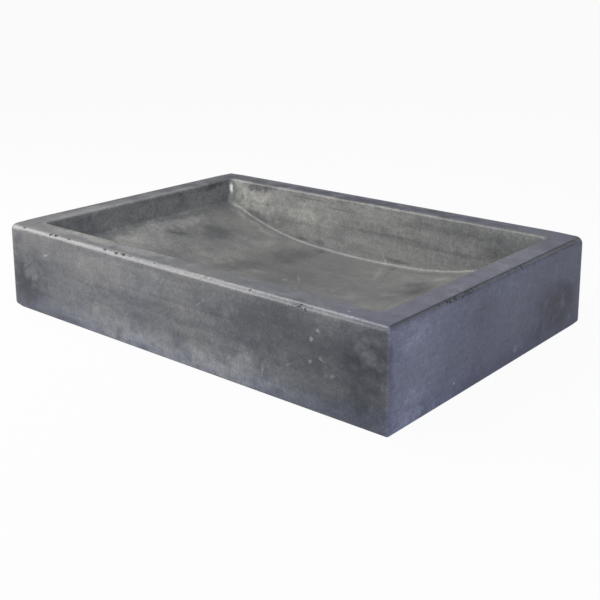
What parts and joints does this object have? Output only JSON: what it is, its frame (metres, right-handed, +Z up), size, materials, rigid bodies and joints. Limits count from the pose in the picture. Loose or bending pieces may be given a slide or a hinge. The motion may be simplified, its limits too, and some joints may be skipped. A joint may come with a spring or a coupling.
{
  "type": "countertop basin",
  "caption": "Rectangular cast concrete countertop basin with a curved shallow floor and a push-button waste.",
  "frame": {"origin": "middle of the flat underside, on the worktop", "axes": "+X along the long front face, +Y to the back, +Z up"},
  "size_m": [0.55, 0.38, 0.143],
  "materials": {
    "concrete": "waxed satin concrete",
    "chromed_brass": "polished",
    "brass": "machined",
    "black_rubber": "matte",
    "white_plastic": "moulded",
    "grey_plastic": "moulded",
    "spring_steel": "drawn wire"
  },
  "bodies": {
    "basin": {"basin_body": "concrete", "waste_body": "chromed_brass", "flange_seal": "black_rubber", "under_seal": "black_rubber", "friction_washer": "white_plastic", "backnut": "brass", "cartridge_housing": "white_plastic", "cartridge_cap": "white_plastic", "cartridge_spring": "spring_steel", "cartridge_washer": "white_plastic", "hub_nut": "brass"},
    "plug": {"plug_cap": "chromed_brass", "seal_carrier": "grey_plastic", "plug_seal": "black_rubber", "stem_nut": "brass", "plunger": "grey_plastic", "cam_ring": "grey_plastic"}
  },
  "joints": [
    {"name": "plug_lift", "type": "slide", "parent": "basin", "child": "plug", "axis": [0, 0, 1], "range_m": [-0.0015, 0.009], "deforming": ["cartridge_spring"]}
  ]
}
